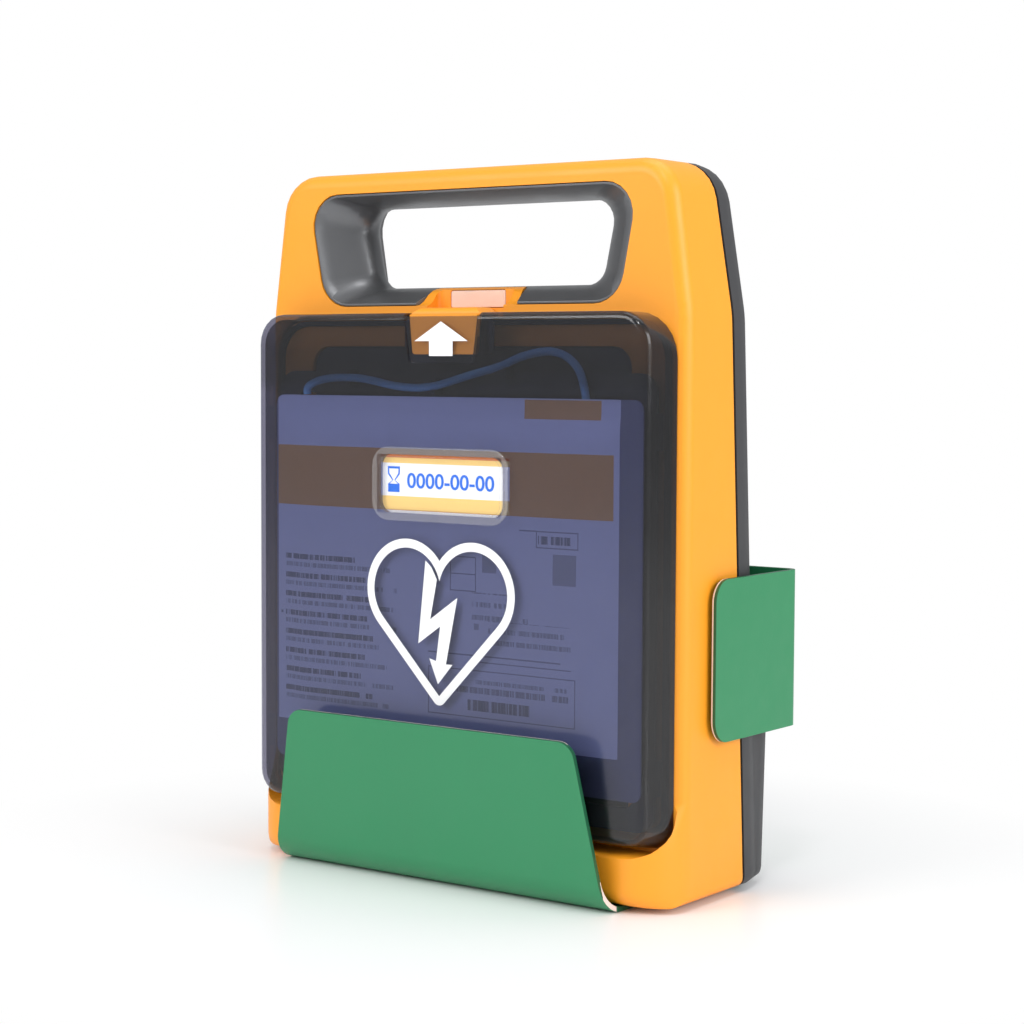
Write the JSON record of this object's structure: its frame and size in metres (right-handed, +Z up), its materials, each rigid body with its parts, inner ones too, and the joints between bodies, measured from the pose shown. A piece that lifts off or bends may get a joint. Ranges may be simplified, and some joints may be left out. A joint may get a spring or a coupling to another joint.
{
  "type": "public-access defibrillator in wall bracket",
  "caption": "Upright defibrillator with a carry handle, smoked front lid over its control panel and pads pouch, standing in a folded sheet wall bracket.",
  "frame": {"origin": "under the middle of the part's box, on the bracket's underside", "axes": "+Z up the unit, -Y out of the lid's front, +X to the viewer's right"},
  "size_m": [0.218, 0.1078, 0.288],
  "materials": {
    "bracket_paint": "satin powder coat",
    "orange_plastic": "fine satin moulding",
    "dark_plastic": "fine spark texture",
    "grip_plastic": "satin soft-touch",
    "smoked_plastic": "clear smoked, polished",
    "clear_plastic": "clear, polished",
    "pale_window": "translucent white",
    "panel_plastic": "fine matte",
    "button_plastic": "satin",
    "gasket_rubber": "matte",
    "pouch_foil": "printed film laminate",
    "lead_jacket": "satin jacket",
    "plug_plastic": "fine matte",
    "pin_steel": "bright",
    "board_laminate": "green laminate",
    "can_sleeve": "shrink sleeve"
  },
  "bodies": {
    "bracket": {"wall_bracket": "bracket_paint"},
    "unit": {"front_housing": "orange_plastic", "rear_housing": "dark_plastic", "handle_grip": "grip_plastic", "seam_gasket": "gasket_rubber", "lid_gasket": "gasket_rubber", "status_window": "pale_window", "front_panel": "panel_plastic", "pads_socket": "dark_plastic", "main_board": "board_laminate", "speaker": "dark_plastic", "storage_capacitor": "can_sleeve", "battery_pack": "dark_plastic", "hinge_pin_left": "pin_steel", "hinge_pin_right": "pin_steel", "case_screw_1": "pin_steel", "case_screw_2": "pin_steel", "case_screw_3": "pin_steel", "case_screw_4": "pin_steel", "case_screw_5": "pin_steel", "case_screw_6": "pin_steel"},
    "battery_catch": {"battery_latch": "grip_plastic"},
    "shock_key": {"shock_button": "button_plastic"},
    "info_key": {"info_button": "button_plastic"},
    "mode_switch": {"child_switch": "grip_plastic"},
    "lid": {"lid_shell": "smoked_plastic", "date_window": "clear_plastic", "latch_cover": "dark_plastic", "pads_pouch": "pouch_foil", "pads_retainer": "dark_plastic", "pads_lead": "lead_jacket", "pads_plug": "plug_plastic"},
    "latch": {"lid_latch": "orange_plastic"}
  },
  "joints": [
    {"name": "lift_out", "type": "slide", "parent": "bracket", "child": "unit", "axis": [0, 0, 1], "range_m": [0, 0.26]},
    {"name": "lid_hinge", "type": "hinge", "parent": "unit", "child": "lid", "pos_m": [0, -0.04058, 0.023], "axis": [1, 0, 0], "range_deg": [0, 100]},
    {"name": "latch_slide", "type": "slide", "parent": "lid", "child": "latch", "axis": [0, 0, 1], "range_m": [0, 0.004], "stiffness_N_per_m": 200},
    {"name": "shock_press", "type": "slide", "parent": "unit", "child": "shock_key", "axis": [0, 1, 0], "range_m": [0, 0.002], "stiffness_N_per_m": 800},
    {"name": "info_press", "type": "slide", "parent": "unit", "child": "info_key", "axis": [0, 1, 0], "range_m": [0, 0.0015], "stiffness_N_per_m": 600},
    {"name": "mode_slide", "type": "slide", "parent": "unit", "child": "mode_switch", "axis": [1, 0, 0], "range_m": [0, 0.009]},
    {"name": "battery_release", "type": "slide", "parent": "unit", "child": "battery_catch", "axis": [0, 0, -1], "range_m": [0, 0.003], "stiffness_N_per_m": 400}
  ],
  "couplings": [
    {"joint": "lid_hinge", "follows": "lift_out", "rad_per_m": 6.7}
  ]
}
